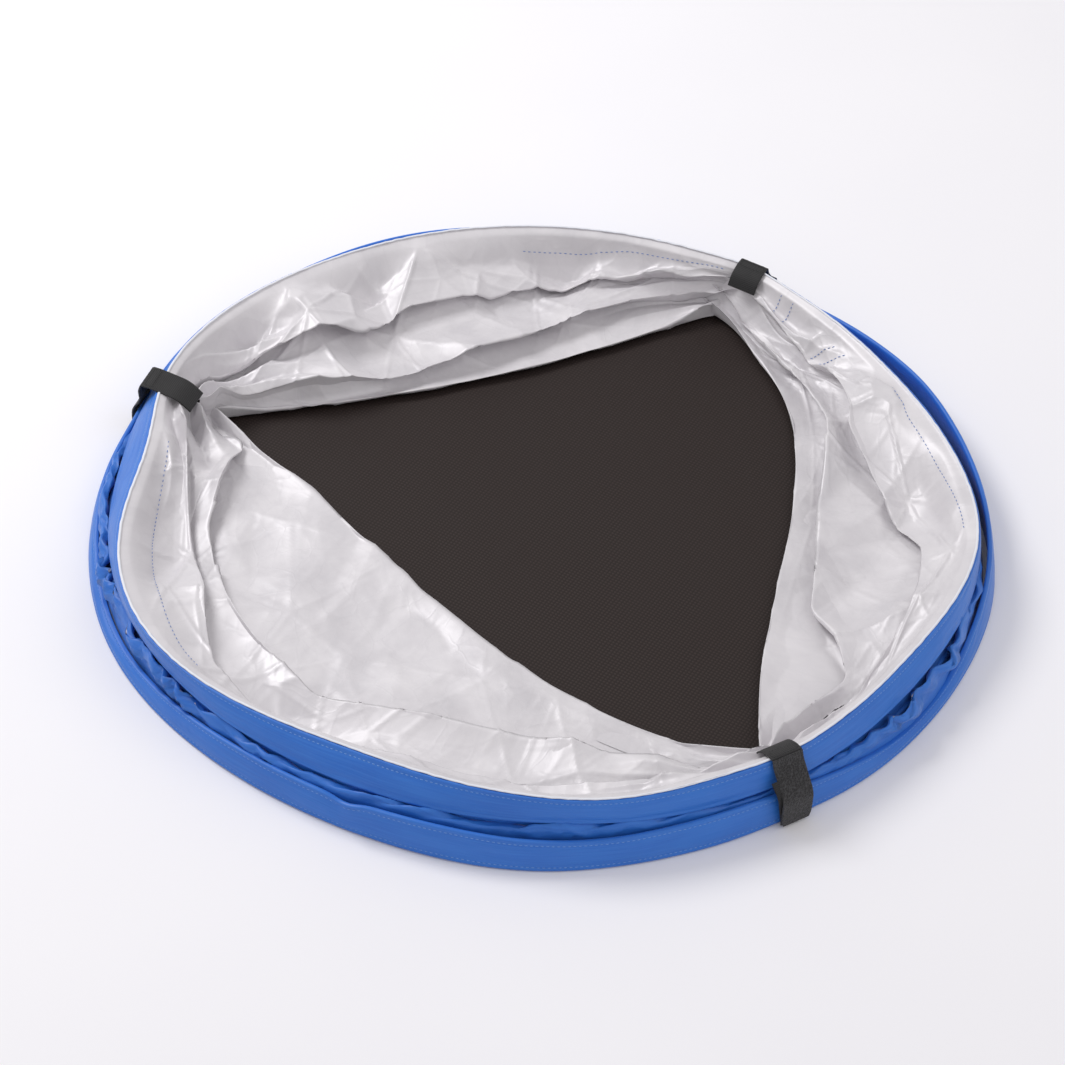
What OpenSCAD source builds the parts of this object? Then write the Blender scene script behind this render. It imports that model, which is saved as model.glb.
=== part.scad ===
// Pop-up shelter folded flat: three sprung hoops in fabric sleeves lie one inside the next on a
// woven floor. The silver-lined wall between them is tucked inwards as three folds, one between
// each two straps, and each strap reaches from the top hoop down the outside to a tab on the base.
// Origin: middle of the floor's underside. +Z up. Millimetres.

/* [Hoops and sleeves] */
// Outside radius of the bottom sleeve, the widest ring
base_outer_r = 412.4; // [340:0.2:500]
// Thickness of every hoop sleeve, across its channel
sleeve_t = 6.4; // [6.4:0.1:8]
// Thickness of the sleeve's fabric wall
sleeve_wall = 0.6; // [0.4:0.05:0.8]
// Height of the bottom and middle sleeves
sleeve_h = 30; // [26:1:38]
// Height of the top sleeve
top_sleeve_h = 31; // [27:1:40]
// Diameter of the spring-steel hoop wire
wire_d = 3.6; // [3:0.1:4]
// Length of the crimped ferrule that joins the two ends of a hoop
ferrule_len = 60; // [30:5:90]
// Wall of the crimped ferrule
ferrule_wall = 0.6; // [0.4:0.05:0.7]
// Gap left between the two ends of a hoop inside its ferrule
wire_end_gap = 2; // [1:0.5:6]

/* [Floor] */
// Thickness of the woven floor
floor_t = 1.2; // [0.8:0.1:2]
// Width of the binding tape round the floor's edge
binding_w = 9; // [6:0.5:9.5]
// Thickness of the binding tape
binding_t = 1.2; // [0.8:0.1:1.6]

/* [Walls] */
// Thickness of the bunched lower wall between the bottom and middle sleeves
lower_wall_t = 1.8; // [1.2:0.1:3]
// Thickness of the bunched upper wall between the middle and top sleeves
upper_wall_t = 2.8; // [1.2:0.1:4]
// How far the bunched lower wall stands above the bottom sleeve
lower_wall_rise = 2; // [0:0.5:5]
// How far the bunched upper wall reaches up behind the top sleeve
upper_wall_lap = 2; // [1:0.5:10]

/* [Wall folds] */
// How far out the three corners of the opening lie: left, back, front
corner_r = [348, 371, 352]; // [320:1:374]
// Compass angles of those corners, from +X towards +Y: left, back, front
corner_az = [159, 64.5, -55.5]; // [-180:0.5:180]
// Bow of the back fold's free edge at one third and two thirds, positive towards the middle
back_bow = [40, 42]; // [-160:5:60]
// Bow of the right fold's free edge, counted from the front corner
right_bow = [10, -150]; // [-160:5:60]
// Bow of the left fold's free edge, counted from the left corner
left_bow = [10, -125]; // [-160:5:60]
// Height of the folds' tops at the hoop
fold_rim_z = 57; // [48:1:58]
// Height of the folds' tops half way in
fold_mid_z = 27; // [18:1:32]
// Height of the folds' tops at their innermost edge
fold_edge_z = 17; // [8:1:18]

/* [Straps] */
// Compass angles of the straps: front, left, back
strap_az = [-57, 163.5, 60]; // [-180:0.5:180]
// Width of the webbing
strap_w = 30; // [20:1:40]
// Thickness of the webbing
strap_t = 1.6; // [1:0.1:2]
// Length of webbing that runs in over the folds
strap_tail = 38; // [25:1:45]
// Drop of that inner run at its end
tail_drop = 10; // [6:1:12]
// Thickness of each half of the hook-and-loop tape
tape_t = 1.1; // [0.8:0.1:1.5]
// Height of the hook-and-loop patches
tape_h = 22; // [16:1:24]
// Width of the tab's webbing
tab_w = 24; // [16:1:28]
// How far the tab's top end stands above the bottom sleeve
tab_rise = 15; // [8:1:16]
// Lean of the tab to the right of its strap, seen from outside
tab_lean = 12; // [0:1:14]

/* [Hidden] */
$fn = 96;

// Clearance kept between soft pieces that slide past each other
soft_gap = 0.4;
// Clearance round the wire in its ferrule, and under it in its channel
crimp_gap = 0.05;
lie_gap = 0.2;

// Radii, worked inwards from the outermost sleeve
bottom_in_r = base_outer_r - sleeve_t;
lower_wall_out_r = bottom_in_r - soft_gap;
middle_out_r = lower_wall_out_r - lower_wall_t - soft_gap;
middle_in_r = middle_out_r - sleeve_t;
upper_wall_out_r = middle_in_r - soft_gap;
top_out_r = upper_wall_out_r - upper_wall_t - soft_gap;
top_in_r = top_out_r - sleeve_t;
fold_out_r = top_in_r - soft_gap;

// Heights, worked up from the ground
binding_top = floor_t + binding_t;
middle_z = binding_top + 3.6;
top_z = sleeve_h - 1;
rim_z = top_z + top_sleeve_h;
wall_z = binding_top + 7.6;
lower_wall_h = sleeve_h + lower_wall_rise - wall_z;
upper_wall_h = top_z + upper_wall_lap - wall_z;
piping_h = 0.8;
piping_w = 3;

// Strap heights and radii: the webbing turns down over the top hoop's outer corner
web_z = rim_z + piping_h + soft_gap + strap_t / 2;
pivot_r = top_out_r + 2.5;
turn_gap = 0.3;
tab_mid_r = base_outer_r + 0.3 + strap_t / 2;
loop_in_r = tab_mid_r + strap_t / 2;
hook_in_r = loop_in_r + tape_t + 0.3;
flap_mid_r = hook_in_r + tape_t + strap_t / 2;
strap_foot_z = 2.5;
tape_z = strap_foot_z + 1.5;
// The tab turns inwards only where its lower side has cleared the bottom sleeve
tab_shoulder = (sleeve_h + 1.2 - strap_foot_z + tab_w / 2 * sin(tab_lean)) / cos(tab_lean) + strap_foot_z;
tab_end_r = middle_out_r + soft_gap + strap_t * 0.75;

// Places of the hoop joints round the rings
ferrule_az = [205, 325, 100];

STRAP_FRONT = 0;
STRAP_LEFT = 1;
STRAP_BACK = 2;

blue = "royalblue";
silver = "gainsboro";
webbing = "#2b2a2c";
tape = "#1e1d1f";

// A band standing on end round the Z axis
module band(in_r, out_r, z, h) {
    rotate_extrude($fn = 180) translate([in_r, z]) square([out_r - in_r, h]);
}

// A fabric sleeve: a band with a closed channel for the hoop
module sleeve(out_r, z, h) {
    rotate_extrude($fn = 180) difference() {
        translate([out_r - sleeve_t, z]) square([sleeve_t, h]);
        translate([out_r - sleeve_t + sleeve_wall, z + sleeve_wall])
            square([sleeve_t - 2 * sleeve_wall, h - 2 * sleeve_wall]);
    }
}

// Middle line of the wire that lies in the bottom of a sleeve's channel
function wire_r(out_r) = out_r - sleeve_t / 2;
function wire_z(z) = z + sleeve_wall + lie_gap + ferrule_wall + crimp_gap + wire_d / 2;

// Hoop wire, whose ends meet inside the ferrule
module hoop(out_r, z, az) {
    gap_deg = wire_end_gap / wire_r(out_r) * 180 / PI;
    rotate([0, 0, az + gap_deg / 2]) rotate_extrude(angle = 360 - gap_deg, $fn = 180)
        translate([wire_r(out_r), wire_z(z)]) circle(d = wire_d, $fn = 32);
}

// Ferrule crimped over the joint of a hoop
module ferrule(out_r, z, az) {
    arc = ferrule_len / wire_r(out_r) * 180 / PI;
    rotate([0, 0, az - arc / 2]) rotate_extrude(angle = arc, $fn = 180)
        translate([wire_r(out_r), wire_z(z)]) difference() {
            circle(d = wire_d + 2 * crimp_gap + 2 * ferrule_wall, $fn = 32);
            circle(d = wire_d + 2 * crimp_gap, $fn = 32);
        }
}

// Corners of the opening as points, in the order left, back, front
function corner(i) = corner_r[i] * [cos(corner_az[i]), sin(corner_az[i])];

// Free edge of a fold: a cubic curve from a to b, bowed towards the middle at its two thirds points
function inward(a, b) = let (d = (b - a) / norm(b - a), n = [-d[1], d[0]]) n * sign(-n * a);
function edge_point(a, b, bow, t) =
    let (n = inward(a, b), p = a + (b - a) / 3 + n * bow[0], q = a + (b - a) * 2 / 3 + n * bow[1])
    pow(1 - t, 3) * a + 3 * pow(1 - t, 2) * t * p + 3 * (1 - t) * t * t * q + pow(t, 3) * b;
edge_steps = 12;
function edge(a, b, bow) = [for (i = [0:edge_steps - 1]) edge_point(a, b, bow, i / edge_steps)];
opening = concat(edge(corner(0), corner(1), back_bow), [corner(1)],
    [for (i = [edge_steps - 1:-1:0]) edge_point(corner(2), corner(1), right_bow, i / edge_steps)],
    [for (i = [edge_steps - 1:-1:1]) edge_point(corner(0), corner(2), left_bow, i / edge_steps)]);

// Wedge of the plan between two compass angles
module wedge(from_az, to_az) {
    steps = 6;
    far_r = fold_out_r * 1.3;
    polygon(concat([[0, 0]], [for (i = [0:steps])
        let (a = from_az + (to_az - from_az) * i / steps) far_r * [cos(a), sin(a)]]));
}

// One inward fold of the wall, between two corners of the opening
module wall_fold(from_az, to_az) {
    slit = 1.2;
    under = floor_t + 0.3;
    color(silver) intersection() {
        rotate_extrude($fn = 180) polygon([[40, under], [fold_out_r, under], [fold_out_r, fold_rim_z],
            [fold_out_r * 0.65, fold_mid_z], [fold_out_r * 0.4, fold_edge_z], [40, fold_edge_z]]);
        linear_extrude(height = fold_rim_z + 1) difference() {
            wedge(from_az, to_az);
            polygon(opening);
            for (a = [from_az, to_az])
                rotate(a) translate([0, -slit / 2]) square([fold_out_r * 1.3, slit]);
        }
    }
}

// Points of a mitred line set off sideways from a path
function left_of(d) = [-d[1], d[0]];
function unit(v) = v / norm(v);
function mitre(path, i) =
    let (last = len(path) - 1, d_in = unit(path[max(i, 1)] - path[max(i, 1) - 1]),
        d_out = unit(path[min(i + 1, last)] - path[min(i + 1, last) - 1]),
        n = unit(left_of(d_in) + left_of(d_out)))
    n / (n * left_of(d_in));
function set_off(path, by) = [for (i = [0:len(path) - 1]) path[i] + mitre(path, i) * by];

// Webbing that follows a path in the radius and height plane, standing across the strap's width
module web(path, thick, width) {
    rotate([90, 0, 0]) linear_extrude(height = width, center = true)
        polygon(concat(set_off(path, thick / 2), [for (i = [len(path) - 1:-1:0])
            (set_off(path, -thick / 2))[i]]));
}

module at_strap(i) {
    rotate([0, 0, strap_az[i]]) children();
}

// Tab sewn up the outside of the bottom sleeve, leaning a little to one side of its strap
module lean() {
    translate([0, 0, strap_foot_z]) rotate([tab_lean, 0, 0]) translate([0, 0, -strap_foot_z]) children();
}

module tab(i) {
    color(webbing) at_strap(i) lean() web([[tab_mid_r, strap_foot_z], [tab_mid_r, tab_shoulder],
        [tab_end_r, sleeve_h + tab_rise]], strap_t, tab_w);
}

module loop_patch(i) {
    color(tape) at_strap(i) lean() translate([loop_in_r, -(tab_w - 2) / 2, tape_z])
        cube([tape_t, tab_w - 2, tape_h]);
}

// Webbing sewn to the top sleeve: an inner run on the folds, then out over the hoop
module anchor(i) {
    color(webbing) at_strap(i) web([[top_in_r - strap_tail, web_z - tail_drop], [top_in_r - 3, web_z],
        [pivot_r - strap_t / 2 - turn_gap, web_z]], strap_t, strap_w);
}

// Flap of the strap that turns down over the hoop and closes on the tab
module flap(i) {
    color(webbing) at_strap(i) union() {
        web([[pivot_r, web_z], [flap_mid_r, tab_shoulder], [flap_mid_r, strap_foot_z]], strap_t, strap_w);
        translate([pivot_r, 0, web_z]) rotate([90, 0, 0])
            cylinder(d = strap_t, h = strap_w, center = true, $fn = 32);
    }
}

module hook_patch(i) {
    color(tape) at_strap(i) translate([hook_in_r, -(strap_w - 4) / 2, tape_z])
        cube([tape_t, strap_w - 4, tape_h]);
}

module floor_panel() {
    color("#332b2a") cylinder(r = bottom_in_r - soft_gap, h = floor_t, $fn = 180);
}

module floor_binding() {
    color(webbing) band(bottom_in_r - soft_gap - binding_w, bottom_in_r - soft_gap, floor_t, binding_t);
}

module bottom_sleeve() { color(blue) sleeve(base_outer_r, 0, sleeve_h); }
module middle_sleeve() { color(blue) sleeve(middle_out_r, middle_z, sleeve_h); }
module top_sleeve() { color(blue) sleeve(top_out_r, top_z, top_sleeve_h); }

module bottom_hoop() { color("silver") hoop(base_outer_r, 0, ferrule_az[0]); }
module middle_hoop() { color("silver") hoop(middle_out_r, middle_z, ferrule_az[1]); }
module top_hoop() { color("silver") hoop(top_out_r, top_z, ferrule_az[2]); }

module bottom_ferrule() { color("gray") ferrule(base_outer_r, 0, ferrule_az[0]); }
module middle_ferrule() { color("gray") ferrule(middle_out_r, middle_z, ferrule_az[1]); }
module top_ferrule() { color("gray") ferrule(top_out_r, top_z, ferrule_az[2]); }

module lower_wall() {
    color(blue) band(lower_wall_out_r - lower_wall_t, lower_wall_out_r, wall_z, lower_wall_h);
}

module upper_wall() {
    color(blue) band(upper_wall_out_r - upper_wall_t, upper_wall_out_r, wall_z, upper_wall_h);
}

module top_edge_piping() {
    color("white") band(top_in_r + 0.5, top_in_r + 0.5 + piping_w, rim_z, piping_h);
}

module wall_fold_back() { wall_fold(corner_az[1], corner_az[0]); }
module wall_fold_left() { wall_fold(corner_az[0], corner_az[2] + 360); }
module wall_fold_right() { wall_fold(corner_az[2], corner_az[1]); }

module front_tab() { tab(STRAP_FRONT); }
module left_tab() { tab(STRAP_LEFT); }
module back_tab() { tab(STRAP_BACK); }
module front_loop_patch() { loop_patch(STRAP_FRONT); }
module left_loop_patch() { loop_patch(STRAP_LEFT); }
module back_loop_patch() { loop_patch(STRAP_BACK); }
module front_anchor() { anchor(STRAP_FRONT); }
module left_anchor() { anchor(STRAP_LEFT); }
module back_anchor() { anchor(STRAP_BACK); }
module front_flap() { flap(STRAP_FRONT); }
module left_flap() { flap(STRAP_LEFT); }
module back_flap() { flap(STRAP_BACK); }
module front_hook_patch() { hook_patch(STRAP_FRONT); }
module left_hook_patch() { hook_patch(STRAP_LEFT); }
module back_hook_patch() { hook_patch(STRAP_BACK); }

floor_panel();
floor_binding();
bottom_sleeve();
bottom_hoop();
bottom_ferrule();
lower_wall();
wall_fold_back();
wall_fold_left();
wall_fold_right();
front_tab();
left_tab();
back_tab();
front_loop_patch();
left_loop_patch();
back_loop_patch();
middle_sleeve();
middle_hoop();
middle_ferrule();
upper_wall();
top_sleeve();
top_edge_piping();
top_hoop();
top_ferrule();
front_anchor();
left_anchor();
back_anchor();
front_flap();
left_flap();
back_flap();
front_hook_patch();
left_hook_patch();
back_hook_patch();
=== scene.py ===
"""Looks of a folded pop-up ice shelter: three hoops in blue sleeves, walls tucked in and out between
them with their silver lining up, a woven floor, and three hook-and-loop straps that hold the stack."""

import math

import bmesh
import bpy
import numpy as np
from mathutils import Matrix, Vector, geometry, noise


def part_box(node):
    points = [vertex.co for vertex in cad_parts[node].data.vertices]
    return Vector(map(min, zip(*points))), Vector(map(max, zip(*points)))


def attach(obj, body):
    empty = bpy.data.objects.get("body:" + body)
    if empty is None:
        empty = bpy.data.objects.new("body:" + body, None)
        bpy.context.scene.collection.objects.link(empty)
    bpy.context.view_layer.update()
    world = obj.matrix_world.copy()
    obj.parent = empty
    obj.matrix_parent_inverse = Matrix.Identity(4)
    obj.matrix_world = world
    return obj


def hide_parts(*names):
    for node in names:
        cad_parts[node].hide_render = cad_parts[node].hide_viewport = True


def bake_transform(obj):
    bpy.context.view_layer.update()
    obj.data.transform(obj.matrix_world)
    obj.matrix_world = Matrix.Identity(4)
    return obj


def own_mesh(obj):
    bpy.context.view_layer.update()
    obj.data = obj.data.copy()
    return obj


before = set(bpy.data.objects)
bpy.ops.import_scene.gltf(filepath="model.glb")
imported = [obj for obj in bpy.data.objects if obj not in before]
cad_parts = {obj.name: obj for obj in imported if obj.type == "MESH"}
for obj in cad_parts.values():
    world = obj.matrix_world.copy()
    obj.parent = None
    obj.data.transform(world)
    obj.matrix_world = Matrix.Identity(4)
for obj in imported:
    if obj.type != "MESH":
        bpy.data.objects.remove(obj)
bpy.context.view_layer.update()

bl_info = {
    "name": "Folded ice shelter",
    "version": (1, 0, 0),
    "blender": (4, 5, 0),
    "location": "View3D > Sidebar > Ice shelter",
    "description": "Builds the fabric, straps, finishes and stage of a folded pop-up ice shelter",
    "category": "Add Mesh",
}

MM = 0.001
RIM_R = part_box("top_sleeve")[0].x * -1
RIM_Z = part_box("top_sleeve")[1].z
FLOOR_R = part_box("floor_panel")[1].x
FLOOR_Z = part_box("floor_panel")[1].z
BASE_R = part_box("bottom_sleeve")[1].x


def corners(node):
    """A CAD node's corners at rest, as an array in metres."""
    return np.array([v.co[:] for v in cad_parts[node].data.vertices])


def azimuth_of(node):
    """The direction in which a node lies from the middle, in degrees."""
    middle = corners(node).mean(0)
    return math.degrees(math.atan2(middle[1], middle[0]))


STRAPS = {side: azimuth_of(side + "_flap") for side in ("front", "left", "back")}


def strap_box(node, side):
    """Lowest and highest radius, sideways place and height of a strap's node."""
    turn = math.radians(STRAPS[side])
    at = corners(node)
    out = at[:, 0] * math.cos(turn) + at[:, 1] * math.sin(turn)
    across = at[:, 1] * math.cos(turn) - at[:, 0] * math.sin(turn)
    local = np.stack([out, across, at[:, 2]], 1)
    return Vector(local.min(0)), Vector(local.max(0))


# ---------------------------------------------------------------- shape of the soft rings


def smooth(x):
    x = min(1.0, max(0.0, x))
    return x * x * (3 - 2 * x)


def hump(azimuth, centre, width):
    """1 at centre, falling off over width degrees either way."""
    away = (azimuth - centre + 180) % 360 - 180
    return math.exp(-((away / width) ** 2))


# where the rim's cloth leans outwards (+) or inwards (-) between the straps: azimuth, mm, degrees
RIM_SLACK = ((-147, 15, 19), (-113, -9, 15), (-80, 8, 13), (-57, 3, 7), (-34, -7, 14), (-6, 9, 14), (32, -13, 21), (174, -9, 13), (181, -14, 15), (125, -3, 20), (60, 5, 6))
# where the lowest sleeve bulges past its hoop, and where the straps draw it in
BASE_SLACK = ((-90, 8, 16), (-6, 6, 15), (-152, 6, 20), (-57, -2.5, 8), (166, -10, 11), (60, -2.5, 8))


def rim_lean(azimuth):
    return MM * (-3 + sum(lean * hump(azimuth, at, wide) for at, lean, wide in RIM_SLACK))


def base_bulge(azimuth):
    return MM * (1 + sum(out * hump(azimuth, at, wide) for at, out, wide in BASE_SLACK))


def gap_lift(azimuth):
    """How far, in mm, the top sleeve's lower edge rides up where much cloth is tucked under it."""
    return 9 * hump(azimuth, -152, 26) + 9 * hump(azimuth, -30, 17) + 3 * hump(azimuth, -85, 12)


def ripple(azimuth, z, size, seed):
    """A soft wave along a ring, size in degrees, between about -1 and 1."""
    turn = math.radians(azimuth)
    reach = 57.3 / size
    place = Vector((math.cos(turn) * reach, math.sin(turn) * reach, z * 40 + seed))
    return 1.6 * noise.noise(place)


# each sleeve: outer line at its lower and upper edge (radius, height), all in metres
SLEEVES = {
    "top": ((RIM_R + 7 * MM, RIM_Z - 27 * MM), (RIM_R, RIM_Z)),
    "middle": ((BASE_R - 9 * MM, 2 * MM), (BASE_R - 14.5 * MM, 27 * MM)),
    "bottom": ((BASE_R + 0.6 * MM, 0.4 * MM), (BASE_R - 5 * MM, 31 * MM)),
}


def sleeve_shape(which):
    """How a ring's cloth is moved at one azimuth: returns a function of azimuth, radius and height."""
    (_, low), (_, high) = SLEEVES[which]

    def moved(azimuth, r, z):
        share = min(1.2, max(-0.2, (z - low) / (high - low)))
        if which == "top":
            r += rim_lean(azimuth) * (0.3 + 0.7 * share)
            z += MM * (0.8 * ripple(azimuth, 0, 22, 3.0) + (1 - share) * gap_lift(azimuth))
        elif which == "bottom":
            r += base_bulge(azimuth) * (1 - 0.25 * share)
            z += MM * share * (1.6 * ripple(azimuth, 0, 18, 8.0) - 4.0 * hump(azimuth, -112, 1.6))
            z += MM * share * (17 * hump(azimuth, 108, 34) + 15 * hump(azimuth, 22, 26) - 0.8 * gap_lift(azimuth))
            z -= MM * max(0.0, share - 0.2) / 0.8 * (16 * hump(azimuth, -33, 17) + 14 * hump(azimuth, -158, 18))
            r += MM * share * 3.0 * hump(azimuth, -110.5, 1.4)
        else:
            r += MM * (0.5 * ripple(azimuth, 0, 20, 5.0) - 9 * hump(azimuth, 166, 12))
        r += MM * 0.55 * ripple(azimuth, z, 5.0, 11.0) * (1 - abs(2 * share - 1) ** 2)
        return r, max(z, 0.3 * MM)

    return moved


def band_profile(low, high, thick):
    """The closed outline of a flat sleeve: outer face nipped in at its two stitch lines."""
    (r0, z0), (r1, z1) = low, high
    tall = math.dist(low, high)
    across = ((z1 - z0) / tall, -(r1 - r0) / tall)
    nip = 4.5 * MM / tall
    outline = []
    for share in (0.03, 0.08, nip, 0.24, 0.36, 0.5, 0.64, 0.76, 1 - nip, 0.92, 0.97):
        swell = 0.8 * MM * math.sin(math.pi * share) - 0.8 * MM * (share in (nip, 1 - nip))
        outline.append((r0 + (r1 - r0) * share + across[0] * swell, z0 + (z1 - z0) * share + across[1] * swell))
    for share, depth in ((1.0, 0.35), (1.0, 0.7), (0.96, 1.0), (0.72, 0.85), (0.5, 0.8), (0.28, 0.85), (0.04, 1.0), (0.0, 0.7), (0.0, 0.35)):
        outline.append((r0 + (r1 - r0) * share - across[0] * thick * depth, z0 + (z1 - z0) * share - across[1] * thick * depth))
    return outline


# ---------------------------------------------------------------- mesh helpers


def place(name, bm, finishes):
    """Makes an object of a bmesh, at the origin, smooth, with its finishes."""
    mesh = bpy.data.meshes.new(name)
    bm.to_mesh(mesh)
    bm.free()
    piece = bpy.data.objects.new(name, mesh)
    bpy.context.scene.collection.objects.link(piece)
    for face in mesh.polygons:
        face.use_smooth = True
    for finish in finishes:
        mesh.materials.append(finish)
    return piece


def bend_round(bm, shape):
    """Moves every vertex of a turned mesh by shape(azimuth, radius, height)."""
    for vert in bm.verts:
        r = math.hypot(vert.co.x, vert.co.y)
        if r < 1e-6:
            continue
        turn = math.atan2(vert.co.y, vert.co.x)
        r, z = shape(math.degrees(turn), r, vert.co.z)
        vert.co = (r * math.cos(turn), r * math.sin(turn), z)


def turned(profile, closed, steps, shape=None):
    """Spins an outline of (radius, height) about the middle, with UVs in metres along and across it."""
    bm = bmesh.new()
    along = bm.verts.layers.float.new("along")
    run = 0.0
    ring = []
    for k, point in enumerate(profile):
        if k:
            run += math.dist(profile[k - 1], point)
        vert = bm.verts.new((point[0], 0, point[1]))
        vert[along] = run
        ring.append(vert)
    ends = ring[1:] + (ring[:1] if closed else [])
    edges = [bm.edges.new(pair) for pair in zip(ring, ends)]
    bmesh.ops.spin(bm, geom=ring + edges, cent=(0, 0, 0), axis=(0, 0, 1), angle=math.tau, steps=steps, use_merge=True)
    bmesh.ops.remove_doubles(bm, verts=bm.verts, dist=1e-7)
    bmesh.ops.recalc_face_normals(bm, faces=bm.faces)
    widest = max(bm.faces, key=lambda f: math.hypot(*f.calc_center_median().xy))
    if not closed and widest.normal.xy.dot(widest.calc_center_median().xy) < 0:
        bmesh.ops.reverse_faces(bm, faces=bm.faces)
    uv = bm.loops.layers.uv.new("UVMap")
    reach = max(p[0] for p in profile)
    for face in bm.faces:
        middle = face.calc_center_median()
        facing = math.atan2(middle.y, middle.x)
        highest = max(loop.vert[along] for loop in face.loops)
        for loop in face.loops:
            turn = math.atan2(loop.vert.co.y, loop.vert.co.x)
            if turn - facing > math.pi:
                turn -= math.tau
            if facing - turn > math.pi:
                turn += math.tau
            across = loop.vert[along]
            if highest - across > run / 2:
                across += run
            loop[uv].uv = (turn * reach, across)
    if shape:
        bend_round(bm, shape)
    return bm


def dash(bm, at, along, up, size):
    """One stitch: a slim rounded thread, size = (length, width, height)."""
    along = along.normalized()
    side = up.cross(along).normalized()
    up = along.cross(side)
    turn = Matrix((along, side, up)).transposed().to_4x4()
    lie = Matrix.Translation(at) @ turn @ Matrix.Diagonal((size[0] / 2, size[1] / 2, size[2] / 2, 1))
    return bmesh.ops.create_icosphere(bm, subdivisions=1, radius=1, matrix=lie)["verts"]


def stitch_rings(name, lines, shape, finish):
    """Stitch lines that run round a sleeve. lines holds (radius, height, outward lean)."""
    sizes = bpy.context.scene.shelter_sizes
    bm = bmesh.new()
    for r, z, lean in lines:
        up = Vector((math.cos(lean), 0, math.sin(lean)))
        verts = dash(bm, Vector((r, 0, z)), Vector((0, 1, 0)), up, (sizes.stitch_length, sizes.thread, sizes.thread * 0.6))
        faces = list({f for v in verts for f in v.link_faces})
        edges = list({e for v in verts for e in v.link_edges})
        count = int(math.tau * r / sizes.stitch_pitch)
        step = math.tau / count
        bmesh.ops.spin(bm, geom=verts + edges + faces, cent=(0, 0, 0), axis=(0, 0, 1), angle=step * (count - 1), steps=count - 1, use_duplicate=True)
    bend_round(bm, shape)
    return place(name, bm, [finish])


def apply_modifiers(piece):
    """Keeps the shape that a piece's modifiers give it, and drops the modifiers."""
    graph = bpy.context.evaluated_depsgraph_get()
    mesh = bpy.data.meshes.new_from_object(piece.evaluated_get(graph))
    piece.modifiers.clear()
    piece.data = mesh
    return piece


# ---------------------------------------------------------------- finishes


def linear(code):
    """An sRGB hex colour as linear RGBA."""
    parts = [int(code[k : k + 2], 16) / 255 for k in (1, 3, 5)]
    return tuple(c / 12.92 if c <= 0.04045 else ((c + 0.055) / 1.055) ** 2.4 for c in parts) + (1.0,)


def add(tree, kind, values=None, **settings):
    """Adds a node with its settings; a value that is another node's output is linked."""
    made = tree.nodes.new(kind)
    for key, value in settings.items():
        setattr(made, key, value)
    for socket, value in (values or {}).items():
        if isinstance(value, bpy.types.NodeSocket):
            tree.links.new(value, made.inputs[socket])
        else:
            made.inputs[socket].default_value = value
    return made


def finish_of(name):
    """A new material: its tree and its shader."""
    finish = bpy.data.materials.get(name) or bpy.data.materials.new(name)
    finish.use_nodes = True
    tree = finish.node_tree
    tree.nodes.clear()
    shader = add(tree, "ShaderNodeBsdfPrincipled")
    out = add(tree, "ShaderNodeOutputMaterial")
    tree.links.new(shader.outputs[0], out.inputs[0])
    return finish, tree, shader


def stretched_coords(tree, kind, scale, turn=0.0):
    """Object or UV coordinates, in metres times scale."""
    coords = add(tree, "ShaderNodeTexCoord")
    values = {"Vector": coords.outputs[kind], "Scale": scale, "Rotation": (0, 0, turn)}
    return add(tree, "ShaderNodeMapping", values).outputs[0]


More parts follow.
